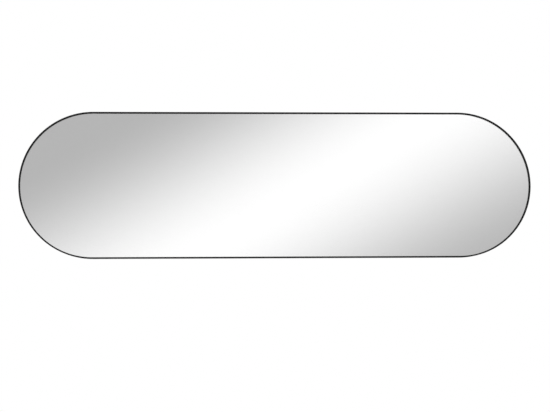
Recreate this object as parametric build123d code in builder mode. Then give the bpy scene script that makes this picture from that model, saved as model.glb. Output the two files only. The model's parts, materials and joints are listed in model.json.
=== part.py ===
# Oval wall mirror: a glass pack on a backing board, held in a black aluminium frame.
# The frame is one channel section bent into two U halves that meet at mid-length.
# Millimetres. +X runs along the length, +Y points into the wall and +Z is up.
# The origin is on the wall, behind the centre of the mirror. A distance "off" the wall
# is measured towards the viewer, so it lies at minus that distance in Y.

import math
import os

from build123d import *

os.makedirs("parts", exist_ok=True)

# Outline: straight top and bottom, and half-round ends as wide as the height
length = 1400.0
height = 400.0

# Frame section
frame_wall = 1.5
lip_width = 4.0
lip_thickness = 1.2
flange_width = 12.0
flange_thickness = 1.5
channel_depth = 6.0
edge_round = 0.4
joint_gap = 0.1

# Glass pack, from the front lip towards the wall
seal_thickness = 0.5
seal_setback = 0.5
glass_thickness = 4.0
glass_edge_gap = 0.5
glass_arris = 0.3
silver_thickness = 0.1
silver_margin = 0.5
film_thickness = 0.2
film_margin = 1.0
tape_thickness = 1.0
tape_width = 25.0
tape_length = 300.0
tape_count = 7
tape_end_margin = 157.5
board_thickness = 6.0
board_edge_gap = 1.0

# Joint bars in the rear channel, one across each seam, and their countersunk screws
bar_length = 90.0
bar_side_gap = 0.2
bar_setback = 1.3
bar_face_gap = 0.2
bar_screw_radius = 1.45
bar_screw_start = 15.0
bar_screw_end_margin = 10.0
bar_screw_tip_inset = 0.3
bar_screw_head_inset = 0.1
flange_hole_clearance = 0.15
recess_width = 0.7
bar_recess_length = 2.8
bar_recess_depth = 0.8

# Hangers: a ring held in a strap folded from sheet, and two pan-head screws
top_hanger_spacing = 800.0
top_hanger_drop = 50.0
end_hanger_spacing = 180.0
end_hanger_drop = 100.0
strap_thickness = 0.9
strap_width = 10.0
strap_slit = 0.1
strap_end_round = 4.5
strap_first_hole = 9.0
strap_hole_pitch = 16.0
strap_end_margin = 8.0
ring_wire_radius = 1.25
ring_bore_clearance = 0.1
ring_side_gap = 3.0
ring_corner_radius = 2.75
ring_side_length = 6.0
ring_rest_gap = 0.3
strap_screw_radius = 1.45
strap_hole_clearance = 0.3
strap_screw_head_radius = 3.0
strap_screw_head_height = 2.0
strap_screw_head_round = 0.8
strap_recess_length = 3.4
strap_recess_depth = 1.2
thread_clearance = 0.05
screw_tip_cover = 1.0
pilot_tip_gap = 0.2

# Rubber pads between the frame and the wall
pad_radius = 4.5
pad_thickness = 2.0
pad_edge_round = 0.4
side_pad_spacing = 600.0

# Distances off the wall, counted up from the pads to the front of the lip
rear_flange_back = pad_thickness
channel_back = rear_flange_back + flange_thickness
mid_flange_back = channel_back + channel_depth
board_back = mid_flange_back + flange_thickness
tape_back = board_back + board_thickness
film_back = tape_back + tape_thickness
silver_back = film_back + film_thickness
glass_back = silver_back + silver_thickness
seal_back = glass_back + glass_thickness
lip_back = seal_back + seal_thickness
frame_front = lip_back + lip_thickness

# Insets of each outline from the outside of the frame
glass_inset = frame_wall + glass_edge_gap
silver_inset = glass_inset + silver_margin
film_inset = glass_inset + film_margin
board_inset = frame_wall + board_edge_gap
seal_inner_inset = lip_width - seal_setback

into_wall = (0, 1, 0)


def save(piece, name):
    # label a finished piece and write it as one file
    piece.label = name
    export_step(piece, f"parts/{name}.step")


def off_wall(distance):
    # the plane parallel to the wall at this distance off it, facing the viewer
    return Plane.XZ.offset(distance)


def wall_facing(x, distance, z):
    # a plane at this point that faces the wall, for features entered from behind
    return Plane(origin=(x, -distance, z), x_dir=(1, 0, 0), z_dir=into_wall)


def oval(inset, mode=Mode.ADD):
    # the mirror's outline, moved in by the inset all round
    SlotOverall(length - 2 * inset, height - 2 * inset, mode=mode)


# Frame: the outer wall, the front lip and two flanges that make a channel behind the board
frame_rings = [
    (rear_flange_back, frame_front, frame_wall),
    (lip_back, frame_front, lip_width),
    (mid_flange_back, board_back, flange_width),
    (rear_flange_back, channel_back, flange_width),
]
with BuildPart() as whole_frame:
    for ring_back, ring_front, ring_width in frame_rings:
        with BuildSketch(off_wall(ring_back)):
            oval(0)
            oval(ring_width, mode=Mode.SUBTRACT)
        extrude(amount=ring_front - ring_back)
    front_edges = whole_frame.edges().group_by(Axis.Y)[0]
    rear_edges = whole_frame.edges().group_by(Axis.Y)[-1]
    fillet(front_edges + rear_edges, radius=min(edge_round, lip_thickness / 3, flange_thickness / 3))

# Joint bar and its screws
bar_outer = height / 2 - frame_wall - bar_side_gap
bar_inner = height / 2 - flange_width + bar_setback
bar_height = bar_outer - bar_inner
bar_centre = (bar_outer + bar_inner) / 2
bar_thickness = channel_depth - bar_face_gap
bar_screw_far = bar_length / 2 - bar_screw_end_margin
bar_screw_places = [-bar_screw_far, -bar_screw_start, bar_screw_start, bar_screw_far]
bar_head_height = flange_thickness - bar_screw_head_inset - 2 * thread_clearance
bar_head_radius = bar_screw_radius + bar_head_height
bar_screw_length = flange_thickness + bar_thickness - bar_screw_head_inset - bar_screw_tip_inset
bar_head_back = rear_flange_back + bar_screw_head_inset
flange_hole_radius = bar_screw_radius + flange_hole_clearance
countersink_radius = bar_head_radius + bar_screw_head_inset + thread_clearance
right_angle = 90

sides = {"top": 1, "bottom": -1}

for half_name, direction in {"left": -1, "right": 1}.items():
    with BuildPart() as frame_half:
        add(whole_frame.part)
        split(
            bisect_by=Plane.YZ.offset(direction * joint_gap / 2),
            keep=Keep.TOP if direction > 0 else Keep.BOTTOM,
        )
        flange_holes = [
            wall_facing(place, rear_flange_back, sign * bar_centre)
            for place in bar_screw_places
            for sign in sides.values()
            if place * direction > 0
        ]
        with Locations(*flange_holes):
            CounterSinkHole(
                radius=flange_hole_radius,
                counter_sink_radius=countersink_radius,
                depth=flange_thickness,
                counter_sink_angle=right_angle,
            )
    save(frame_half.part, f"frame_half_{half_name}")

for side_name, sign in sides.items():
    with BuildPart() as joint_bar:
        with BuildSketch(off_wall(channel_back)):
            with Locations((0, sign * bar_centre)):
                Rectangle(bar_length, bar_height)
        extrude(amount=bar_thickness)
        with BuildSketch(off_wall(channel_back)):
            with Locations(*[(place, sign * bar_centre) for place in bar_screw_places]):
                Circle(bar_screw_radius + thread_clearance)
        extrude(amount=bar_thickness, mode=Mode.SUBTRACT)
    save(joint_bar.part, f"joint_bar_{side_name}")

    with BuildPart() as bar_screws:
        screw_heads = [wall_facing(place, bar_head_back, sign * bar_centre) for place in bar_screw_places]
        with Locations(*screw_heads):
            Cylinder(bar_screw_radius, bar_screw_length, align=(Align.CENTER, Align.CENTER, Align.MAX))
            Cone(
                bottom_radius=bar_screw_radius,
                top_radius=bar_head_radius,
                height=bar_head_height,
                align=(Align.CENTER, Align.CENTER, Align.MAX),
            )
            for across, along in ((recess_width, bar_recess_length), (bar_recess_length, recess_width)):
                Box(
                    across,
                    along,
                    bar_recess_depth,
                    align=(Align.CENTER, Align.CENTER, Align.MAX),
                    mode=Mode.SUBTRACT,
                )
    save(bar_screws.part, f"joint_bar_screws_{side_name}")

# Soft seal between the lip and the face of the glass
with BuildPart() as front_seal:
    with BuildSketch(off_wall(seal_back)):
        oval(frame_wall)
        oval(seal_inner_inset, mode=Mode.SUBTRACT)
    extrude(amount=seal_thickness)
save(front_seal.part, "front_seal")

# Float glass with its edges ground, silvered and painted on the back, then backed by a film
with BuildPart() as mirror_glass:
    with BuildSketch(off_wall(glass_back)):
        oval(glass_inset)
    extrude(amount=glass_thickness)
    chamfer(mirror_glass.edges().group_by(Axis.Y)[0], length=glass_arris)
    chamfer(mirror_glass.edges().group_by(Axis.Y)[-1], length=glass_arris)
save(mirror_glass.part, "mirror_glass")

with BuildPart() as silver_coating:
    with BuildSketch(off_wall(silver_back)):
        oval(silver_inset)
    extrude(amount=silver_thickness)
save(silver_coating.part, "silver_coating")

with BuildPart() as safety_film:
    with BuildSketch(off_wall(film_back)):
        oval(film_inset)
    extrude(amount=film_thickness)
save(safety_film.part, "safety_film")

# Strips of double-sided foam tape that bond the glass to the board
tape_span = length - 2 * board_inset - 2 * tape_end_margin
tape_pitch = tape_span / (tape_count - 1)
for index in range(tape_count):
    with BuildPart() as foam_tape:
        with BuildSketch(off_wall(tape_back)):
            with Locations((index * tape_pitch - tape_span / 2, 0)):
                Rectangle(tape_width, tape_length)
        extrude(amount=tape_thickness)
    save(foam_tape.part, f"foam_tape_{index + 1}")

# Hangers. In each hanger's plane, X is the way the ring points when the mirror hangs from it,
# Y points into the wall, Z is the hinge axis, and the origin is on that axis.
loop_bore_radius = ring_wire_radius + ring_bore_clearance
loop_radius = loop_bore_radius + strap_thickness
hinge_off_wall = board_back - loop_radius
strap_reach = strap_first_hole + strap_hole_pitch + strap_end_margin
strap_top = 2 * strap_thickness + strap_slit
strap_screw_places = (strap_first_hole, strap_first_hole + strap_hole_pitch)
screw_depth = board_thickness - screw_tip_cover
pilot_radius = strap_screw_radius + thread_clearance
ring_half_width = strap_width / 2 + ring_side_gap + ring_wire_radius
ring_reach = ring_side_length + ring_half_width

up = (0, 0, 1)
down = (0, 0, -1)
leftwards = (-1, 0, 0)
top_hanger_z = height / 2 - top_hanger_drop
end_hanger_x = end_hanger_drop - length / 2


def hanger_plane(x, z, ring_way, hinge_way):
    return Plane(origin=(x, -hinge_off_wall, z), x_dir=ring_way, z_dir=hinge_way)


hangers = {
    "top_left": hanger_plane(-top_hanger_spacing / 2, top_hanger_z, up, leftwards),
    "top_right": hanger_plane(top_hanger_spacing / 2, top_hanger_z, up, leftwards),
    "end_upper": hanger_plane(end_hanger_x, end_hanger_spacing / 2, leftwards, down),
    "end_lower": hanger_plane(end_hanger_x, -end_hanger_spacing / 2, leftwards, down),
}


def screw_points(hanger, board_height):
    # planes facing the wall at a hanger's two screws, this high above the board
    points = [hanger.from_local_coords((-place, board_height - loop_radius, 0)) for place in strap_screw_places]
    return [Plane(origin=point, x_dir=hanger.x_dir, z_dir=into_wall) for point in points]


# Backing board with a blind pilot hole for each hanger screw
with BuildPart() as backing_board:
    with BuildSketch(off_wall(board_back)):
        oval(board_inset)
    extrude(amount=board_thickness)
    for hanger in hangers.values():
        with Locations(*screw_points(hanger, 0)):
            Hole(pilot_radius, depth=screw_depth + pilot_tip_gap)
save(backing_board.part, "backing_board")

for hanger_name, hanger in hangers.items():
    # the strap runs along the board, round the ring's leg and back over itself
    with BuildPart() as hanger_strap:
        with BuildSketch(hanger):
            Circle(loop_radius)
            with Locations((-strap_reach, -loop_radius)):
                Rectangle(strap_reach, strap_thickness, align=Align.MIN)
            with Locations((-strap_reach, strap_thickness + strap_slit - loop_radius)):
                Rectangle(strap_reach - loop_bore_radius - strap_thickness / 2, strap_thickness, align=Align.MIN)
            Circle(loop_bore_radius, mode=Mode.SUBTRACT)
        extrude(amount=strap_width / 2, both=True)
        free_end = hanger_strap.edges().filter_by(Axis.Y).group_by(Axis(hanger.origin, hanger.x_dir))[0]
        fillet(free_end, radius=min(strap_end_round, strap_width * 0.45))
        with Locations(*screw_points(hanger, strap_top)):
            Hole(strap_screw_radius + strap_hole_clearance, depth=strap_top)
    save(hanger_strap.part, f"hanger_strap_{hanger_name}")

    # the ring leans on past upright until it almost touches the board
    lean = math.asin((loop_radius - ring_wire_radius - ring_rest_gap) / ring_reach)
    ring_face = hanger.y_dir * math.cos(lean) + hanger.x_dir * math.sin(lean)
    ring_plane = Plane(origin=hanger.origin, x_dir=hanger.z_dir, z_dir=ring_face)
    with BuildPart() as hanging_ring:
        with BuildLine(ring_plane) as ring_path:
            leg_start = Line((0, 0), (ring_half_width - ring_corner_radius, 0))
            first_corner = JernArc(leg_start @ 1, leg_start % 1, ring_corner_radius, right_angle)
            first_side = Line(first_corner @ 1, (ring_half_width, ring_side_length))
            crown = JernArc(first_side @ 1, first_side % 1, ring_half_width, 2 * right_angle)
            last_side = Line(crown @ 1, (-ring_half_width, ring_corner_radius))
            last_corner = JernArc(last_side @ 1, last_side % 1, ring_corner_radius, right_angle)
            Line(last_corner @ 1, (0, 0))
        with BuildSketch(Plane(origin=hanger.origin, z_dir=hanger.z_dir)):
            Circle(ring_wire_radius)
        sweep(path=ring_path.wire())
    save(hanging_ring.part, f"hanging_ring_{hanger_name}")

    with BuildPart() as hanger_screws:
        with Locations(*screw_points(hanger, strap_top)):
            Cylinder(
                strap_screw_head_radius,
                strap_screw_head_height,
                align=(Align.CENTER, Align.CENTER, Align.MIN),
            )
        fillet(hanger_screws.edges().group_by(Axis.Y)[-1], radius=strap_screw_head_round)
        with Locations(*screw_points(hanger, strap_top)):
            Cylinder(
                strap_screw_radius,
                strap_top + screw_depth,
                align=(Align.CENTER, Align.CENTER, Align.MAX),
            )
        with Locations(*screw_points(hanger, strap_top + strap_screw_head_height)):
            for across, along in ((recess_width, strap_recess_length), (strap_recess_length, recess_width)):
                Box(
                    across,
                    along,
                    strap_recess_depth,
                    align=(Align.CENTER, Align.CENTER, Align.MAX),
                    mode=Mode.SUBTRACT,
                )
    save(hanger_screws.part, f"hanger_screws_{hanger_name}")

# Wall pads, on the middle of the rear flange
pad_inset = flange_width / 2
pad_places = {
    "top_left": (-side_pad_spacing / 2, height / 2 - pad_inset),
    "top_right": (side_pad_spacing / 2, height / 2 - pad_inset),
    "bottom_left": (-side_pad_spacing / 2, pad_inset - height / 2),
    "bottom_right": (side_pad_spacing / 2, pad_inset - height / 2),
    "end_left": (pad_inset - length / 2, 0),
    "end_right": (length / 2 - pad_inset, 0),
}
for pad_name, place in pad_places.items():
    with BuildPart() as wall_pad:
        with BuildSketch(Plane.XZ):
            with Locations(place):
                Circle(pad_radius)
        extrude(amount=pad_thickness)
        fillet(wall_pad.edges().group_by(Axis.Y)[-1], radius=pad_edge_round)
    save(wall_pad.part, f"wall_pad_{pad_name}")
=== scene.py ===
# Oval wall mirror: silvered glass in a slim black frame bent from one channel, with ring hangers behind it.
# Metres. X runs along the mirror, Y into the wall and Z up. The origin is on the wall, behind its centre.
import json
import math

import bmesh
import bpy
import numpy as np
from mathutils import Euler, Matrix, Vector


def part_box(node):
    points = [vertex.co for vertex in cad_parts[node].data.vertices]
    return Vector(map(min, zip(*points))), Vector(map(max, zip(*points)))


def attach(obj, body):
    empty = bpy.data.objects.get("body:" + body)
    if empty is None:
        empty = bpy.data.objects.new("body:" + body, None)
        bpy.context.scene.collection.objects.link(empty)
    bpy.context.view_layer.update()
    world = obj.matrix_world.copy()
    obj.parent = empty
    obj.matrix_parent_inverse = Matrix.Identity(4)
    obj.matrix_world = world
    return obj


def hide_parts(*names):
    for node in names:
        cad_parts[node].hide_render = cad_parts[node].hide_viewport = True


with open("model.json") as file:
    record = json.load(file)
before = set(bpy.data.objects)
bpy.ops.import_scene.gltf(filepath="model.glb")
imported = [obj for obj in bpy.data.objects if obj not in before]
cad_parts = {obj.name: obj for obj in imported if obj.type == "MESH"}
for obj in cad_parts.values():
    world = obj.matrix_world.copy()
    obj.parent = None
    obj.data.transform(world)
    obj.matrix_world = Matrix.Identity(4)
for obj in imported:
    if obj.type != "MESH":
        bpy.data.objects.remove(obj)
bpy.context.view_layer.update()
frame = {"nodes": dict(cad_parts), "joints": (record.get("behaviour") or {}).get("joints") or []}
nodes = frame["nodes"]
swings = {joint["child"]: joint for joint in frame["joints"]}
mm = 0.001
print("frame loaded:", len(nodes), "nodes")


# Small helpers for angles, colours and nodes

def fullTurn(steps):
    # angles spaced evenly round a full turn
    return np.linspace(0, 2 * math.pi, steps + 1)[:-1]


def linear(hexColour):
    # sRGB hex to linear: c/12.92 below 0.04045, else ((c + 0.055)/1.055)^2.4
    levels = [int(hexColour[i:i + 2], 16) / 255 for i in (1, 3, 5)]
    return tuple(c / 12.92 if c <= 0.04045 else ((c + 0.055) / 1.055) ** 2.4 for c in levels) + (1.0,)


def grey(level):
    return (level, level, level, 1.0)


def addNode(tree, kind, settings=None, sockets=None, links=None):
    # one node with its settings, its fixed socket values and what feeds it, as socket: (node, output)
    node = tree.nodes.new(kind)
    for name, value in (settings or {}).items():
        setattr(node, name, value)
    for name, value in (sockets or {}).items():
        node.inputs[name].default_value = value
    for name, (source, output) in (links or {}).items():
        tree.links.new(source.outputs[output], node.inputs[name])
    return node


def newMaterial(name):
    material = bpy.data.materials.new(name)
    material.use_nodes = True
    material.node_tree.nodes.clear()
    return material, material.node_tree


def setRamp(node, stops, interpolation="LINEAR"):
    # stops are (place, linear colour)
    ramp = node.color_ramp
    ramp.interpolation = interpolation
    while len(ramp.elements) > 1:
        ramp.elements.remove(ramp.elements[-1])
    ramp.elements[0].position, ramp.elements[0].color = stops[0]
    for place, colour in stops[1:]:
        ramp.elements.new(place).color = colour


# Camera, at the photograph's viewing angle

cameraView = {
    "place": (-0.1735, -3.2757, -0.3477),  # a little left of centre and below it, looking up
    "yaw": -2.941,
    "pitch": 5.079,
    "roll": 0.356,
    "focal": 1200.0,  # in pixels of a frame 550 wide
    "frameWidth": 550.0,
    "sensor": 36.0,
}


def makeCamera(v):
    data = bpy.data.cameras.new("camera")
    data.sensor_fit = "HORIZONTAL"
    data.sensor_width = v["sensor"]
    data.lens = v["sensor"] * v["focal"] / v["frameWidth"]
    camera = bpy.data.objects.new("camera", data)
    bpy.context.scene.collection.objects.link(camera)
    turn = (
        Matrix.Rotation(math.radians(v["yaw"]), 4, "Z")
        @ Matrix.Rotation(math.radians(v["pitch"]), 4, "X")
        @ Matrix.Rotation(math.radians(v["roll"]), 4, "Y")
    )
    level = Euler((math.radians(90), 0, 0)).to_matrix().to_4x4()  # turns a camera's -Z to look along +Y
    camera.matrix_world = Matrix.Translation(v["place"]) @ turn @ level
    bpy.context.scene.camera = camera


makeCamera(cameraView)
print("camera set")


# Studio: white background, a soft sweep of light for the mirror to reflect, and a pale floor

studio = {
    "bandNormal": (-0.497, 0.0493, 0.867),  # square to the plane of the bright band
    "bandLight": 1.09,  # brightness at the middle of the band; the sweep's levels are shares of it
    "sweep": [  # sine of the height over the band's plane, and the share of light there
        (-1.0, 0.66),
        (-0.52, 0.60),
        (-0.24, 0.48),
        (-0.1285, 0.466),
        (0.0, 1.0),
        (0.127, 0.458),
        (0.26, 0.47),
        (0.62, 0.92),
        (1.0, 0.80),
    ],
    "roomLight": 0.62,
    "floorDrop": 1.15,
    "floorRadius": 3.0,
    "floorSteps": 96,
    "floorSolid": 0.35,  # share of the radius before the floor fades out
    "floorColour": "#f3f3f1",
}


def makeWorld(s):
    world = bpy.data.worlds.new("studio")
    bpy.context.scene.world = world
    world.use_nodes = True
    tree = world.node_tree
    tree.nodes.clear()
    place = addNode(tree, "ShaderNodeTexCoord")
    height = addNode(
        tree,
        "ShaderNodeVectorMath",
        {"operation": "DOT_PRODUCT"},
        {1: s["bandNormal"]},
        {0: (place, "Generated")},
    )
    spread = addNode(
        tree,
        "ShaderNodeMapRange",
        {},
        {"From Min": -1.0, "From Max": 1.0},
        {"Value": (height, "Value")},
    )
    sweep = addNode(tree, "ShaderNodeValToRGB", links={"Fac": (spread, "Result")})
    setRamp(sweep, [((sine + 1) / 2, grey(share)) for sine, share in s["sweep"]], "EASE")
    kind = "ShaderNodeBackground"
    mirrored = addNode(tree, kind, {}, {"Strength": s["bandLight"]}, {"Color": (sweep, "Color")})
    room = addNode(tree, kind, {}, {"Color": grey(1.0), "Strength": s["roomLight"]})
    white = addNode(tree, kind, {}, {"Color": grey(1.0), "Strength": 1.0})
    path = addNode(tree, "ShaderNodeLightPath")
    shiny = addNode(
        tree,
        "ShaderNodeMath",
        {"operation": "MAXIMUM"},
        {},
        {0: (path, "Is Glossy Ray"), 1: (path, "Is Transmission Ray")},
    )
    lit = addNode(
        tree,
        "ShaderNodeMixShader",
        links={0: (shiny, "Value"), 1: (room, "Background"), 2: (mirrored, "Background")},
    )
    seen = addNode(
        tree,
        "ShaderNodeMixShader",
        links={0: (path, "Is Camera Ray"), 1: (lit, "Shader"), 2: (white, "Background")},
    )
    addNode(tree, "ShaderNodeOutputWorld", links={"Surface": (seen, "Shader")})


def makeFloor(s):
    # a flat disc, as points on one circle, which fades to nothing before its rim
    material, tree = newMaterial("pale matt floor paint")
    place = addNode(tree, "ShaderNodeTexCoord")
    reach = addNode(tree, "ShaderNodeVectorMath", {"operation": "LENGTH"}, {}, {0: (place, "Object")})
    fade = addNode(
        tree,
        "ShaderNodeMapRange",
        {"interpolation_type": "SMOOTHSTEP"},
        {"From Min": s["floorRadius"] * s["floorSolid"], "From Max": s["floorRadius"]},
        {"Value": (reach, "Value")},
    )
    matt = addNode(tree, "ShaderNodeBsdfDiffuse", {}, {"Color": linear(s["floorColour"])})
    clear = addNode(tree, "ShaderNodeBsdfTransparent")
    mixed = addNode(
        tree, "ShaderNodeMixShader", links={0: (fade, "Result"), 1: (matt, "BSDF"), 2: (clear, "BSDF")}
    )
    addNode(tree, "ShaderNodeOutputMaterial", links={"Surface": (mixed, "Shader")})
    turns = fullTurn(s["floorSteps"])
    points = np.stack([np.cos(turns), np.sin(turns), np.zeros_like(turns)], 1) * s["floorRadius"]
    mesh = bpy.data.meshes.new("floor")
    mesh.from_pydata(points.tolist(), [], [list(range(len(points)))])
    mesh.materials.append(material)
    floor = bpy.data.objects.new("floor", mesh)
    floor.location = (0, 0, -s["floorDrop"])
    bpy.context.scene.collection.objects.link(floor)


lamps = {
    "key": {"place": (-2.4, -2.8, 2.8), "size": 2.4, "power": 70.0, "mirrored": False},
    "fill": {"place": (2.8, -2.2, 1.2), "size": 2.8, "power": 30.0, "mirrored": False},
    "back": {"place": (1.6, 2.8, 2.4), "size": 2.0, "power": 70.0, "mirrored": True},
    "backFill": {"place": (-2.8, 2.0, 0.6), "size": 2.4, "power": 30.0, "mirrored": True},
}


def makeLamps(settings):
    for name, s in settings.items():
        data = bpy.data.lights.new(name, "AREA")
        data.shape = "DISK"
        data.size = s["size"]
        data.energy = s["power"]
        lamp = bpy.data.objects.new(name, data)
        lamp.location = s["place"]
        lamp.rotation_euler = (-Vector(s["place"])).to_track_quat("-Z", "Y").to_euler()
        lamp.visible_glossy = s["mirrored"]  # the glass shows the soft sweep, and not the lamps before it
        lamp.visible_transmission = s["mirrored"]
        bpy.context.scene.collection.objects.link(lamp)


makeWorld(studio)
makeFloor(studio)
makeLamps(lamps)
bpy.context.scene.view_settings.view_transform = "Standard"
print("studio lit")


# Materials

def floatGlass():
    # low-iron float glass, polished by the molten tin it was cast on: clear, with no green in it
    material, tree = newMaterial("clear float glass")
    shader = addNode(
        tree,
        "ShaderNodeBsdfPrincipled",
        {},
        {"Base Color": linear("#fdfdfd"), "Roughness": 0.0, "IOR": 1.52, "Transmission Weight": 1.0},
    )
    addNode(tree, "ShaderNodeOutputMaterial", links={"Surface": (shader, "BSDF")})
    return material


def silverCoat():
    # chemically deposited silver: a clean mirror, hardly tinted
    material, tree = newMaterial("deposited silver")
    shader = addNode(
        tree,
        "ShaderNodeBsdfPrincipled",
        {},
        {"Base Color": linear("#f9f9f9"), "Metallic": 1.0, "Roughness": 0.0},
    )
    addNode(tree, "ShaderNodeOutputMaterial", links={"Surface": (shader, "BSDF")})
    return material


grainShare = 0.4  # of the grain in a finish's tone; the rest is clouds
toneSpan = (0.34, 0.66)  # noise values at which a finish is at its darker and its lighter tone
noiseSpan = (0.3, 0.7)  # a noise texture seldom leaves these values


def surface(name, look):
    # one finish from its values: two tones in clouds and grain, a roughness that wanders and a fine relief.
    # Each size in look is the real distance between marks, so a pattern's scale is one over it
    material, tree = newMaterial(name)
    place = addNode(tree, "ShaderNodeTexCoord")
    stretched = addNode(
        tree,
        "ShaderNodeMapping",
        {},
        {"Scale": look.get("stretch", (1.0, 1.0, 1.0))},
        {"Vector": (place, "Object")},
    )
    point = {"Vector": (stretched, "Vector")}
    kind = "ShaderNodeTexNoise"
    clouds = addNode(tree, kind, {}, {"Scale": 1 / look["cloudSize"], "Detail": 3.0}, point)
    grain = addNode(
        tree, kind, {}, {"Scale": 1 / look["grainSize"], "Detail": 3.0, "Roughness": 0.6}, point
    )
    both = addNode(
        tree, "ShaderNodeMix", {}, {"Factor": grainShare}, {"A": (clouds, "Fac"), "B": (grain, "Fac")}
    )
    tone = addNode(tree, "ShaderNodeValToRGB", links={"Fac": (both, "Result")})
    setRamp(tone, [(toneSpan[0], linear(look["darker"])), (toneSpan[1], linear(look["lighter"]))])
    wander = addNode(
        tree,
        "ShaderNodeMapRange",
        {},
        {
            "From Min": noiseSpan[0],
            "From Max": noiseSpan[1],
            "To Min": look["roughness"] - look["wander"],
            "To Max": look["roughness"] + look["wander"],
        },
        {"Value": (both, "Result")},
    )
    bump = addNode(
        tree,
        "ShaderNodeBump",
        {},
        {"Strength": look["relief"], "Distance": look["reliefHeight"]},
        {"Height": (grain, "Fac")},
    )
    shader = addNode(
        tree,
        "ShaderNodeBsdfPrincipled",
        {},
        look["sockets"],
        {"Base Color": (tone, "Color"), "Roughness": (wander, "Result"), "Normal": (bump, "Normal")},
    )
    addNode(tree, "ShaderNodeOutputMaterial", links={"Surface": (shader, "BSDF")})
    return material


finishes = {
    "matt black powder coat": {  # baked polyester powder: near black, its shine dulled by an orange peel
        "darker": "#0b0b0c",
        "lighter": "#101011",
        "cloudSize": 45 * mm,
        "grainSize": 1.1 * mm,
        "roughness": 0.44,
        "wander": 0.06,
        "relief": 0.55,
        "reliefHeight": 0.06 * mm,
        "sockets": {"IOR": 1.5, "Specular IOR Level": 0.25},
    },
    "black rubber": {  # moulded rubber: dull, with a fine skin
        "darker": "#131313",
        "lighter": "#1b1b1a",
        "cloudSize": 6 * mm,
        "grainSize": 0.5 * mm,
        "roughness": 0.82,
        "wander": 0.06,
        "relief": 0.4,
        "reliefHeight": 0.03 * mm,
        "sockets": {"IOR": 1.52, "Specular IOR Level": 0.35},
    },
    "closed-cell foam": {  # white polyethylene foam: pores that show where it is cut
        "darker": "#cfcfca",
        "lighter": "#ecece8",
        "cloudSize": 9 * mm,
        "grainSize": 0.7 * mm,
        "roughness": 0.8,
        "wander": 0.05,
        "relief": 0.5,
        "reliefHeight": 0.08 * mm,
        "sockets": {"IOR": 1.5},
    },
    "milky safety film": {  # extruded polyethylene film over the mirror's back paint: satin and cool grey
        "darker": "#b3bac0",
        "lighter": "#c4cad0",
        "cloudSize": 60 * mm,
        "grainSize": 1.1 * mm,
        "roughness": 0.4,
        "wander": 0.06,
        "relief": 0.25,
        "reliefHeight": 0.02 * mm,
        "sockets": {"IOR": 1.5},
    },
    "black-oxide steel": {  # blackened screws: a dark metal with a low shine
        "darker": "#232427",
        "lighter": "#323336",
        "cloudSize": 3 * mm,
        "grainSize": 0.4 * mm,
        "roughness": 0.38,
        "wander": 0.07,
        "relief": 0.15,
        "reliefHeight": 0.01 * mm,
        "sockets": {"Metallic": 1.0},
    },
    "zinc-plated steel": {  # electroplated zinc: pale, faintly blue, brighter and duller in patches
        "darker": "#a4a9ae",
        "lighter": "#c9cdd1",
        "cloudSize": 5 * mm,
        "grainSize": 0.5 * mm,
        "roughness": 0.3,
        "wander": 0.08,
        "relief": 0.2,
        "reliefHeight": 0.008 * mm,
        "sockets": {"Metallic": 1.0},
    },
    "extruded aluminium": {  # mill finish: fine lines from the die along its length
        "darker": "#b7b9bb",
        "lighter": "#d6d8da",
        "cloudSize": 12 * mm,
        "grainSize": 0.45 * mm,
        "stretch": (0.02, 1.0, 1.0),
        "roughness": 0.36,
        "wander": 0.08,
        "relief": 0.25,
        "reliefHeight": 0.01 * mm,
        "sockets": {"Metallic": 1.0},
    },
}


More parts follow.
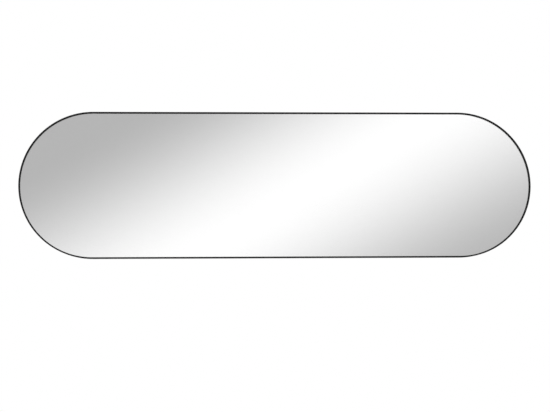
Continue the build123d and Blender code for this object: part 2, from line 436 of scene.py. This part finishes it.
def fibreboard():
    # medium-density fibreboard, pressed and sanded: warm tan, felted fibres, dark flecks and sanding lines.
    # Its fibres are 3 mm long and finer than a render shows, so the felt is drawn about twice as coarse
    look = {
        "pale": "#c19c70",
        "tan": "#a9825a",
        "fleck": "#6f4d30",
        "toneSpan": (0.36, 0.64),
        "cloudSize": 140 * mm,
        "feltSize": 5 * mm,
        "feltShare": 0.45,
        "fibreSize": 1.6 * mm,
        "fibreShare": 0.35,
        "sandingPitch": 2.2 * mm,
        "sandingLength": 160 * mm,
        "sandingShare": 0.18,
        "fleckSize": 1.9 * mm,
        "fleckSpan": (0.69, 0.76),  # where the peaks of its noise turn dark
        "fleckDark": 0.45,
        "relief": 0.35,
        "reliefHeight": 0.12 * mm,
    }
    material, tree = newMaterial("raw fibreboard")
    place = addNode(tree, "ShaderNodeTexCoord")
    point = {"Vector": (place, "Object")}
    kind = "ShaderNodeTexNoise"
    clouds = addNode(tree, kind, {}, {"Scale": 1 / look["cloudSize"], "Detail": 4.0}, point)
    felt = addNode(
        tree,
        kind,
        {},
        {"Scale": 1 / look["feltSize"], "Detail": 5.0, "Roughness": 0.7, "Distortion": 0.8},
        point,
    )
    fibres = addNode(
        tree,
        kind,
        {},
        {"Scale": 1 / look["fibreSize"], "Detail": 4.0, "Roughness": 0.7, "Distortion": 1.2},
        point,
    )
    lined = addNode(
        tree,
        "ShaderNodeMapping",
        {},
        {"Scale": (1 / look["sandingLength"], 1 / look["sandingPitch"], 1 / look["sandingPitch"])},
        point,
    )
    sanding = addNode(tree, kind, {}, {"Scale": 1.0, "Detail": 3.0}, {"Vector": (lined, "Vector")})
    flecks = addNode(tree, kind, {}, {"Scale": 1 / look["fleckSize"], "Detail": 1.0}, point)
    mixKind = "ShaderNodeMix"
    broad = addNode(
        tree, mixKind, {}, {"Factor": look["feltShare"]}, {"A": (clouds, "Fac"), "B": (felt, "Fac")}
    )
    fine = addNode(
        tree, mixKind, {}, {"Factor": look["fibreShare"]}, {"A": (broad, "Result"), "B": (fibres, "Fac")}
    )
    lines = addNode(
        tree, mixKind, {}, {"Factor": look["sandingShare"]}, {"A": (fine, "Result"), "B": (sanding, "Fac")}
    )
    tone = addNode(tree, "ShaderNodeValToRGB", links={"Fac": (lines, "Result")})
    darkest, palest = look["toneSpan"]
    setRamp(tone, [(darkest, linear(look["tan"])), (palest, linear(look["pale"]))])
    faint, full = look["fleckSpan"]
    dark = addNode(
        tree,
        "ShaderNodeMapRange",
        {},
        {"From Min": faint, "From Max": full, "To Max": look["fleckDark"]},
        {"Value": (flecks, "Fac")},
    )
    coloured = addNode(
        tree,
        mixKind,
        {"data_type": "RGBA"},
        {"B": linear(look["fleck"])},
        {"Factor": (dark, "Result"), "A": (tone, "Color")},
    )
    bump = addNode(
        tree,
        "ShaderNodeBump",
        {},
        {"Strength": look["relief"], "Distance": look["reliefHeight"]},
        {"Height": (fine, "Result")},
    )
    shader = addNode(
        tree,
        "ShaderNodeBsdfPrincipled",
        {},
        {"Roughness": 0.82, "IOR": 1.45, "Specular IOR Level": 0.3},
        {"Base Color": (coloured, "Result"), "Normal": (bump, "Normal")},
    )
    addNode(tree, "ShaderNodeOutputMaterial", links={"Surface": (shader, "BSDF")})
    return material


def drawnWire():
    # zinc-plated drawn wire: fine lines from the die along it, read from each point's place on the wire
    look = {
        "darker": "#a3a8ad",
        "lighter": "#d0d4d7",
        "lineLength": 14 * mm,
        "linePitch": 0.35 * mm,
        "smoothest": 0.2,
        "roughest": 0.42,
        "relief": 0.2,
        "reliefHeight": 0.01 * mm,
    }
    material, tree = newMaterial("zinc-plated drawn wire")
    place = addNode(tree, "ShaderNodeAttribute", {"attribute_name": "wirePlace"})
    drawn = addNode(
        tree,
        "ShaderNodeMapping",
        {},
        {"Scale": (1 / look["lineLength"], 1 / look["linePitch"], 1 / look["linePitch"])},
        {"Vector": (place, "Vector")},
    )
    lines = addNode(
        tree, "ShaderNodeTexNoise", {}, {"Scale": 1.0, "Detail": 3.0}, {"Vector": (drawn, "Vector")}
    )
    tone = addNode(tree, "ShaderNodeValToRGB", links={"Fac": (lines, "Fac")})
    setRamp(tone, [(noiseSpan[0], linear(look["darker"])), (noiseSpan[1], linear(look["lighter"]))])
    wander = addNode(
        tree,
        "ShaderNodeMapRange",
        {},
        {"To Min": look["smoothest"], "To Max": look["roughest"]},
        {"Value": (lines, "Fac")},
    )
    bump = addNode(
        tree,
        "ShaderNodeBump",
        {},
        {"Strength": look["relief"], "Distance": look["reliefHeight"]},
        {"Height": (lines, "Fac")},
    )
    shader = addNode(
        tree,
        "ShaderNodeBsdfPrincipled",
        {},
        {"Metallic": 1.0},
        {"Base Color": (tone, "Color"), "Roughness": (wander, "Result"), "Normal": (bump, "Normal")},
    )
    addNode(tree, "ShaderNodeOutputMaterial", links={"Surface": (shader, "BSDF")})
    return material


materials = {name: surface(name, look) for name, look in finishes.items()}
materials["clear float glass"] = floatGlass()
materials["deposited silver"] = silverCoat()
materials["raw fibreboard"] = fibreboard()
materials["zinc-plated drawn wire"] = drawnWire()
print("materials made:", len(materials))


def paint(names, material):
    for name in names:
        nodes[name].data.materials.clear()
        nodes[name].data.materials.append(materials[material])


# Shapes, as grids of points

def roundedOutline(corners, steps=5):
    # a closed outline from right-angled corners, each (across, up, radius). A corner becomes a quarter
    # circle that touches both its sides: its centre is the corner moved by the radius along each side
    points = np.array([corner[:2] for corner in corners], float)
    radii = np.array([corner[2] for corner in corners], float)[:, None]
    back = np.roll(points, 1, 0) - points
    ahead = np.roll(points, -1, 0) - points
    back /= np.linalg.norm(back, axis=1, keepdims=True)
    ahead /= np.linalg.norm(ahead, axis=1, keepdims=True)
    centres = points + radii * (back + ahead)
    turn = np.linspace(0, math.pi / 2, steps + 1)
    # from -ahead to -back round each centre
    arcs = -ahead[:, None, :] * np.cos(turn)[None, :, None] - back[:, None, :] * np.sin(turn)[None, :, None]
    outline = (centres[:, None, :] + radii[:, :, None] * arcs).reshape(-1, 2)
    return outline[np.linalg.norm(outline - np.roll(outline, 1, 0), axis=1) > 1e-8]


def tubeMesh(name, grids, rowsClosed=False):
    # closed tubes from grids of points: rows run along a tube, columns round it, and open ends are capped
    vertices = []
    faces = []
    for grid in grids:
        rows, columns = grid.shape[:2]
        start = len(vertices)
        row = np.arange(rows if rowsClosed else rows - 1)[:, None]
        column = np.arange(columns)[None, :]
        nextRow = (row + 1) % rows
        nextColumn = (column + 1) % columns
        corners = ((row, column), (row, nextColumn), (nextRow, nextColumn), (nextRow, column))
        quads = np.stack([(start + r * columns + c).ravel() for r, c in corners], 1)
        faces += quads.tolist()
        if not rowsClosed:
            faces.append(list(range(start + columns - 1, start - 1, -1)))
            faces.append(list(range(start + (rows - 1) * columns, start + rows * columns)))
        vertices += grid.reshape(-1, 3).tolist()
    mesh = bpy.data.meshes.new(name)
    mesh.from_pydata(vertices, [], faces)
    solid = bmesh.new()
    solid.from_mesh(mesh)
    if solid.calc_volume(signed=True) < 0:  # its faces point inwards
        bmesh.ops.reverse_faces(solid, faces=solid.faces)
        solid.to_mesh(mesh)
    solid.free()
    return mesh


sliver = 0.002 * mm  # edges shorter than this are closed up after a cut


def carve(mesh, cutter):
    # the mesh less the cutter, by an exact Boolean, and then without the slivers that it leaves
    things = [bpy.data.objects.new(shape.name, shape) for shape in (mesh, cutter)]
    for thing in things:
        bpy.context.scene.collection.objects.link(thing)
    cut = things[0].modifiers.new("cut", "BOOLEAN")
    cut.operation = "DIFFERENCE"
    cut.solver = "EXACT"
    cut.object = things[1]
    result = bpy.data.meshes.new_from_object(things[0].evaluated_get(bpy.context.evaluated_depsgraph_get()))
    for thing, shape in zip(things, (mesh, cutter)):
        bpy.data.objects.remove(thing)
        bpy.data.meshes.remove(shape)
    clean = bmesh.new()
    clean.from_mesh(result)
    bmesh.ops.dissolve_degenerate(clean, dist=sliver, edges=clean.edges)
    clean.to_mesh(result)
    clean.free()
    return result


def placed(grid, origin, axes):
    # local points carried to their place: origin + across * axes[0] + out * axes[1] + along * axes[2]
    return np.asarray(origin, float) + grid @ np.asarray(axes, float)


def slab(halfWide, halfTall, edge):
    # the corners of a flat bar's section
    signs = ((1, -1), (1, 1), (-1, 1), (-1, -1))
    return [(across * halfWide, up * halfTall, edge) for across, up in signs]


def turned(profile, columns=32):
    # a shape turned on a lathe: each (radius, height) row of the profile goes round the third axis
    angle = fullTurn(columns)
    rows = np.asarray(profile, float)
    return np.stack([rows[:, :1] * np.cos(angle), rows[:, :1] * np.sin(angle), rows[:, 1:] + 0 * angle], -1)


crease = math.radians(32)  # edges that turn by more than this stay sharp


def addPiece(name, mesh, material, body, replaced):
    mesh.name = name
    mesh.materials.clear()
    mesh.materials.append(materials[material])
    mesh.shade_smooth()
    mesh.set_sharp_from_angle(angle=crease)
    piece = bpy.data.objects.new(name, mesh)
    bpy.context.scene.collection.objects.link(piece)
    flats = piece.modifiers.new("flats keep their shading", "WEIGHTED_NORMAL")
    flats.keep_sharp = True
    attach(piece, body)
    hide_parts(replaced)
    return piece


wallward = (0.0, 1.0, 0.0)
turnAxes = ((1.0, 0.0, 0.0), (0.0, 0.0, -1.0), wallward)  # a turned shape whose top faces the wall

# Outline, from the frame's own box: two half circles with straight sides between them
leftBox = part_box("frame_half_left")
radius = leftBox[1].z
straight = -leftBox[0].x - radius
frontY = leftBox[0].y
rearY = leftBox[1].y


# Frame: the channel section bent along each half of the outline

frameShape = {
    "lip": 4.0 * mm,  # the black face seen from the front
    "flange": 12.0 * mm,  # the two flanges behind the board
    "flangeThick": 1.5 * mm,
    "edgeRound": 0.4 * mm,
    "innerRound": 0.25 * mm,
    "lipRound": 0.15 * mm,
    "arcSteps": 128,
    "screwPlaces": (15 * mm, 35 * mm),  # from the seam
    "screwHole": 1.6 * mm,
    "screwSink": 2.9 * mm,
    "cutterPast": 0.5 * mm,  # how far the hole cutters reach past the metal
}


def frameSection(s):
    # the section's outline as (inset from the outside, y)
    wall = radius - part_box("front_seal")[1].z
    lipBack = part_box("front_seal")[0].y
    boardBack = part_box("backing_board")[1].y
    channelFront = boardBack + s["flangeThick"]
    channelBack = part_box("joint_bar_top")[1].y
    edge, inner, lipEdge = s["edgeRound"], s["innerRound"], s["lipRound"]
    return roundedOutline(
        [
            (0.0, rearY, edge),
            (0.0, frontY, edge),
            (s["lip"], frontY, edge),
            (s["lip"], lipBack, lipEdge),
            (wall, lipBack, inner),
            (wall, boardBack, inner),
            (s["flange"], boardBack, inner),
            (s["flange"], channelFront, inner),
            (wall, channelFront, inner),
            (wall, channelBack, inner),
            (s["flange"], channelBack, inner),
            (s["flange"], rearY, edge),
        ]
    )


def frameHalf(s, side):
    # the section carried round half the outline: from the seam along the top, round the end and back below.
    # A point with inset i at turn a is (straight + (radius - i) cos a, y, (radius - i) sin a)
    section = frameSection(s)
    seam = abs(leftBox[1].x)
    bend = np.linspace(math.pi / 2, -math.pi / 2, s["arcSteps"] + 1)
    turns = np.concatenate([bend[:1], bend, bend[-1:]])
    middles = np.full(len(turns), straight)
    middles[[0, -1]] = seam
    reach = radius - section[None, :, 0]
    grid = np.stack(
        [
            side * (middles[:, None] + reach * np.cos(turns)[:, None]),
            np.broadcast_to(section[None, :, 1], (len(turns), len(section))),
            reach * np.sin(turns)[:, None],
        ],
        -1,
    )
    grid[[0, -1], :, 0] = side * seam
    # countersunk holes for the bar screws: a cone down to the hole, which goes on into the channel
    depth = s["screwSink"] - s["screwHole"]
    past = s["cutterPast"]
    sink = turned(
        [
            (s["screwSink"] + past, past),
            (s["screwSink"], 0.0),
            (s["screwHole"], -depth),
            (s["screwHole"], -s["flangeThick"] - past),
        ]
    )
    barMiddle = sum(corner.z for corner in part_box("joint_bar_top")) / 2
    holes = [
        placed(sink, (side * place, rearY, up * barMiddle), turnAxes)
        for place in s["screwPlaces"]
        for up in (1, -1)
    ]
    return carve(tubeMesh("frame half", [grid]), tubeMesh("screw holes", holes))


for sideName, side in {"left": -1, "right": 1}.items():
    addPiece(
        f"{sideName}FrameHalf",
        frameHalf(frameShape, side),
        "matt black powder coat",
        "mirror",
        f"frame_half_{sideName}",
    )
print("frame bent")


# Glass pack

def ovalPlate(name, inset, levels, steps=129):
    # a plate with the mirror's outline: a loop of two half circles of radius - inset at each level of y
    turn = np.linspace(-math.pi / 2, math.pi / 2, steps)
    end = np.stack([straight + (radius - inset) * np.cos(turn), (radius - inset) * np.sin(turn)], 1)
    loop = np.concatenate([end, -end])
    grid = np.stack([np.insert(loop, 1, y, axis=1) for y in levels])
    return tubeMesh(name, [grid])


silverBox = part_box("silver_coating")
contact = 0.03 * mm  # the silver's face lies this far inside the glass, with no air between them
addPiece(
    "silverCoat",
    ovalPlate("silver", radius - silverBox[1].z, (silverBox[0].y - contact, silverBox[1].y)),
    "deposited silver",
    "mirror",
    "silver_coating",
)
paint(["mirror_glass"], "clear float glass")
paint(["safety_film"], "milky safety film")
paint(["front_seal"], "black rubber")
paint(["backing_board"], "raw fibreboard")
paint([name for name in nodes if name.startswith("foam_tape")], "closed-cell foam")
print("glass silvered")


# Hangers: a folded strap, a ring of drawn wire that swings in its loop, and two pan-head screws

hangerShape = {
    "strapThick": 0.9 * mm,
    "strapWidth": 10.0 * mm,
    "strapSlit": 0.1 * mm,  # between the two layers
    "strapReach": 33.0 * mm,  # from the hinge to the free end
    "endRound": 4.5 * mm,
    "edgeRound": 0.16 * mm,  # sheared and tumbled edges
    "loopBore": 1.35 * mm,
    "foldRadius": 1.35 * mm,  # where the upper layer bends down from the loop
    "holeRadius": 1.75 * mm,
    "screwPlaces": (9.0 * mm, 25.0 * mm),
    "wireRadius": 1.25 * mm,
    "ringHalfWidth": 9.25 * mm,
    "ringSide": 6.0 * mm,
    "ringCorner": 2.75 * mm,
    "ringRestGap": 0.3 * mm,
    "edgeSteps": 3,
    "endSteps": 8,
    "loopSteps": 32,
    "foldSteps": 12,
    "cornerSteps": 16,
    "wireSteps": 24,
    "holeSteps": 40,
}


def hangerPlace(name):
    # the hinge point, with axes that point the ring's way, into the wall and along the hinge
    swing = swings[f"ring_{name}"]
    hinge = np.array(swing["axis"], float)
    return swing["pos_m"], (np.cross(wallward, hinge), wallward, hinge)


def wireRing(s, name):
    # a circle carried round a closed path in the ring's plane: a straight leg on the hinge, two corners,
    # two sides and a half-round crown. The plane leans until the crown almost touches the board
    origin, axes = hangerPlace(name)
    half = s["ringHalfWidth"]
    reach = s["ringSide"] + half
    corner = s["ringCorner"]
    outline = roundedOutline(
        [(half, 0.0, corner), (half, reach, half), (-half, reach, half), (-half, 0.0, corner)],
        s["cornerSteps"],
    )
    path = np.concatenate([[[0.0, 0.0]], outline])
    heading = np.roll(path, -1, 0) - np.roll(path, 1, 0)
    heading /= np.linalg.norm(heading, axis=1, keepdims=True)
    sideways = np.stack([-heading[:, 1], heading[:, 0]], 1)
    turn = fullTurn(s["wireSteps"])
    spread = s["wireRadius"] * np.cos(turn)
    across = path[:, None, :] + spread[None, :, None] * sideways[:, None, :]
    lift = np.broadcast_to(s["wireRadius"] * np.sin(turn), across.shape[:2])
    lean = math.asin((s["loopBore"] + s["strapThick"] - s["wireRadius"] - s["ringRestGap"]) / reach)
    ringward, intoWall, along = (np.asarray(axis, float) for axis in axes)
    plane = (
        along,
        ringward * math.cos(lean) - intoWall * math.sin(lean),
        intoWall * math.cos(lean) + ringward * math.sin(lean),
    )
    wire = placed(np.concatenate([across, lift[:, :, None]], -1), origin, plane)
    mesh = tubeMesh("ring", [wire], rowsClosed=True)
    # each point's place on the wire, for its drawn lines: how far along, and where round it
    steps = np.linalg.norm(path - np.roll(path, 1, 0), axis=1)
    steps[0] = 0.0
    far = np.broadcast_to(np.cumsum(steps)[:, None], lift.shape)
    wirePlace = np.stack([far, np.broadcast_to(spread, lift.shape), lift], -1)
    mesh.attributes.new("wirePlace", "FLOAT_VECTOR", "POINT").data.foreach_set("vector", wirePlace.ravel())
    return mesh


def strapPath(s):
    # the middle of the sheet, as (ringward, wallward) points: along the board to the hinge, round the loop,
    # over a fold that bends back, and along the first layer. Also how far each point is from its free end
    loop = s["loopBore"] + s["strapThick"] / 2
    fold = s["foldRadius"] + s["strapThick"] / 2
    lower = -loop
    upper = lower + s["strapThick"] + s["strapSlit"]
    # the loop and the fold touch where (loop + fold) cos(past) - fold = upper
    past = math.acos((upper + fold) / (loop + fold))
    fromEnd = s["endRound"] * (1 - np.cos(np.linspace(0, math.pi / 2, s["endSteps"] + 1)))
    fromEnd = np.insert(fromEnd, 1, 0.5 * s["edgeRound"])  # one row more, for the rounding of the edge
    endX = -s["strapReach"] + fromEnd
    turn = np.linspace(-math.pi / 2, math.pi / 2 + past, s["loopSteps"] + 1)
    back = np.linspace(past - math.pi / 2, -math.pi / 2, s["foldSteps"] + 1)[1:]
    foldCentre = (loop + fold) * np.array([-math.sin(past), math.cos(past)])
    path = np.concatenate(
        [
            np.stack([endX, np.full(len(endX), lower)], 1),
            loop * np.stack([np.cos(turn), np.sin(turn)], 1),
            foldCentre + fold * np.stack([np.cos(back), np.sin(back)], 1),
            np.stack([endX[::-1], np.full(len(endX), upper)], 1),
        ]
    )
    distance = np.full(len(path), s["endRound"])
    distance[:len(fromEnd)] = fromEnd
    distance[-len(fromEnd):] = fromEnd[::-1]
    return path, distance


def foldedStrap(s, name):
    # a flat section carried along the strap's path. Near a free end its width is that of the rounded end:
    # half - r + sqrt(r^2 - (r - d)^2) at distance d from the end
    origin, axes = hangerPlace(name)
    path, distance = strapPath(s)
    heading = np.gradient(path, axis=0)
    heading /= np.linalg.norm(heading, axis=1, keepdims=True)
    outward = np.stack([heading[:, 1], -heading[:, 0]], 1)
    half = s["strapWidth"] / 2
    thick = s["strapThick"] / 2
    edge = s["edgeRound"]
    end = s["endRound"]
    section = roundedOutline(slab(half, thick, edge), s["edgeSteps"])
    narrowing = end - np.sqrt(np.maximum(end ** 2 - (end - distance) ** 2, 0.0))
    narrowing = np.minimum(narrowing, half - 2 * edge)[:, None]
    width = section[:, 0] - np.sign(section[:, 0]) * narrowing
    squeeze = np.where(distance == 0.0, 1 - edge / thick, 1.0)[:, None]  # the end's own edge is thinner
    height = section[:, 1] * squeeze
    points = path[:, None, :] + outward[:, None, :] * height[:, :, None]
    mesh = tubeMesh("strap", [placed(np.concatenate([points, width[:, :, None]], -1), origin, axes)])
    top = -s["loopBore"] + s["strapThick"] + s["strapSlit"]
    rows = [(s["holeRadius"], s["strapThick"]), (s["holeRadius"], -3 * s["strapThick"])]
    hole = turned(rows, s["holeSteps"])
    holes = [
        placed(placed(hole, (-place, top, 0.0), turnAxes), origin, axes) for place in s["screwPlaces"]
    ]
    return carve(mesh, tubeMesh("strap holes", holes))


# Screws: a turned head and a threaded shank, with a cross recess

hangerScrew = {
    "head": [  # (radius, height) from the middle of the top down to the underside
        (0.4 * mm, 2.0 * mm),
        (1.4 * mm, 1.97 * mm),
        (2.1 * mm, 1.86 * mm),
        (2.55 * mm, 1.62 * mm),
        (2.85 * mm, 1.25 * mm),
        (2.97 * mm, 0.8 * mm),
        (3.0 * mm, 0.3 * mm),
        (2.9 * mm, 0.0),
        (1.15 * mm, 0.0),
    ],
    "length": 6.9 * mm,
    "plain": 1.0 * mm,
    "shank": 1.45 * mm,
    "core": 1.02 * mm,
    "pitch": 1.1 * mm,
    "tip": 1.9 * mm,
    "recess": {
        "length": 1.75 * mm,
        "width": 0.45 * mm,
        "depth": 1.3 * mm,
        "top": 2.0 * mm,
        "above": 0.3 * mm,
    },
}
barScrew = {
    "head": [(0.4 * mm, 0.0), (2.6 * mm, 0.0), (2.75 * mm, -0.12 * mm), (1.45 * mm, -1.42 * mm)],
    "length": 6.9 * mm,
    "plain": 1.6 * mm,
    "shank": 1.45 * mm,
    "core": 1.2 * mm,
    "pitch": 0.5 * mm,
    "tip": 0.5 * mm,
    "recess": {"length": 1.5 * mm, "width": 0.42 * mm, "depth": 1.1 * mm, "top": 0.0, "above": 0.3 * mm},
}
threadShape = {"columns": 24, "rowsPerPitch": 6, "tipShare": 0.12}
driven = {"firstTurn": 23.0, "turnStep": 47.0}  # each screw is driven home at a turn of its own, in degrees


def screwShape(s):
    # a turned head with a thread below it: under the plain part the radius is
    # core + (shank - core) (1 - |2 frac(height / pitch - turn) - 1|), and it shrinks over the tip
    angle = fullTurn(threadShape["columns"])
    down = np.arange(-s["plain"], -s["length"], -s["pitch"] / threadShape["rowsPerPitch"])
    down = np.append(down, -s["length"])
    head = turned(s["head"] + [(s["core"], -s["plain"])], threadShape["columns"])
    wave = 1 - np.abs(2 * ((down[:, None] / s["pitch"] - angle / (2 * math.pi)) % 1.0) - 1)
    taper = np.clip((down + s["length"]) / s["tip"], threadShape["tipShare"], 1.0)[:, None]
    reach = (s["core"] + (s["shank"] - s["core"]) * wave) * taper
    shank = np.stack([reach * np.cos(angle), reach * np.sin(angle), down[:, None] + 0 * angle], -1)
    return np.concatenate([head, shank])


def spun(grid, angle):
    # points turned about the third axis
    cosine, sine = math.cos(angle), math.sin(angle)
    return grid @ np.array([[cosine, sine, 0.0], [-sine, cosine, 0.0], [0.0, 0.0, 1.0]])


def crossRecess(s):
    # a cross-shaped cutter that narrows with depth: at each level four arms of half width a reach out to b
    levels = (  # shares of the arms' length and width, and the height over the top of the head
        (1.08, 1.05, s["above"]),
        (1.0, 1.0, 0.0),
        (0.72, 0.9, -0.7 * s["depth"]),
        (0.2, 0.45, -s["depth"]),
    )
    loops = []
    for longer, wider, height in levels:
        a = s["width"] * wider
        b = max(s["length"] * longer, 1.4 * a)  # an arm still shows where the cutter is narrowest
        level = s["top"] + height
        arm = np.array([(b, -a, level), (b, a, level), (a, a, level)])
        loops.append(np.concatenate([spun(arm, quarter * math.pi / 2) for quarter in range(4)]))
    return np.stack(loops)


def screwGroup(s, places):
    # one screw at each place, with its head to the wall
    bodies = []
    recesses = []
    for index, place in enumerate(places):
        angle = math.radians(driven["firstTurn"] + driven["turnStep"] * index)
        bodies.append(placed(spun(screwShape(s), angle), place, turnAxes))
        recesses.append(placed(spun(crossRecess(s["recess"]), angle), place, turnAxes))
    return carve(tubeMesh("screws", bodies), tubeMesh("recesses", recesses))


for name in ("top_left", "top_right", "end_upper", "end_lower"):
    words = name.split("_")
    title = words[0] + words[1].capitalize()
    addPiece(
        f"{title}Ring",
        wireRing(hangerShape, name),
        "zinc-plated drawn wire",
        f"ring_{name}",
        f"hanging_ring_{name}",
    )
    addPiece(
        f"{title}Strap",
        foldedStrap(hangerShape, name),
        "zinc-plated steel",
        "mirror",
        f"hanger_strap_{name}",
    )
    origin, axes = hangerPlace(name)
    headSeat = hangerShape["strapThick"] + hangerShape["strapSlit"] - hangerShape["loopBore"]
    seats = [
        placed(np.array([-place, headSeat, 0.0]), origin, axes) for place in hangerShape["screwPlaces"]
    ]
    addPiece(
        f"{title}Screws",
        screwGroup(hangerScrew, seats),
        "zinc-plated steel",
        "mirror",
        f"hanger_screws_{name}",
    )
print("hangers folded")


# Joint bars in the rear channel, their countersunk screws, and the wall pads

barShape = {"edge": 0.4 * mm, "edgeSteps": 4, "endTaper": 0.24 * mm, "screwHole": 1.5 * mm, "holeSteps": 40}
padShape = {"edge": 0.4 * mm, "edgeSteps": 5, "rim": 0.1 * mm, "faceShare": 0.5, "roundSteps": 48}


def jointBar(s, name):
    # a rounded section carried along X, a little smaller at its two ends
    low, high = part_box(name)
    middle = (low + high) / 2
    tall = (high.z - low.z) / 2
    deep = (high.y - low.y) / 2
    taper = s["endTaper"]
    section = roundedOutline(slab(deep, tall, s["edge"]), s["edgeSteps"])
    inner = section - np.sign(section) * taper
    x = (low.x, low.x + taper, high.x - taper, high.x)
    loops = [np.insert(loop, 0, along, axis=1) for loop, along in zip((inner, section, section, inner), x)]
    grid = np.stack(loops) + np.array([0.0, middle.y, middle.z])
    hole = turned([(s["screwHole"], 2 * deep), (s["screwHole"], -2 * deep)], s["holeSteps"])
    places = [side * place for side in (-1, 1) for place in frameShape["screwPlaces"]]
    holes = [placed(hole, (place, middle.y, middle.z), turnAxes) for place in places]
    return carve(tubeMesh("bar", [grid]), tubeMesh("bar holes", holes))


def wallPad(s, name):
    # a flat rubber button turned about Y, with a soft edge where it meets the wall
    low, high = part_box(name)
    middle = (low + high) / 2
    reach = (high.x - low.x) / 2
    thick = high.y - low.y
    edge = s["edge"]
    bend = np.linspace(0, math.pi / 2, s["edgeSteps"] + 1)
    shoulder = np.stack([reach - edge + edge * np.sin(bend), -edge + edge * np.cos(bend)], 1)
    face = [[s["faceShare"] * reach, 0.0]]
    rim = [[reach, s["rim"] - thick], [reach - s["rim"], -thick]]
    button = turned(np.concatenate([face, shoulder, rim]), s["roundSteps"])
    return tubeMesh("pad", [placed(button, (middle.x, high.y, middle.z), turnAxes)])


for name in ("top", "bottom"):
    addPiece(
        f"{name}Bar",
        jointBar(barShape, f"joint_bar_{name}"),
        "extruded aluminium",
        "mirror",
        f"joint_bar_{name}",
    )
    low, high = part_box(f"joint_bar_screws_{name}")
    height = (low.z + high.z) / 2
    places = [(side * place, high.y, height) for side in (-1, 1) for place in frameShape["screwPlaces"]]
    addPiece(
        f"{name}BarScrews",
        screwGroup(barScrew, places),
        "black-oxide steel",
        "mirror",
        f"joint_bar_screws_{name}",
    )
for name in [name for name in nodes if name.startswith("wall_pad")]:
    title = "".join(word.capitalize() for word in name.split("_")[2:])
    addPiece(f"pad{title}", wallPad(padShape, name), "black rubber", "mirror", name)
print("bars, screws and pads made")
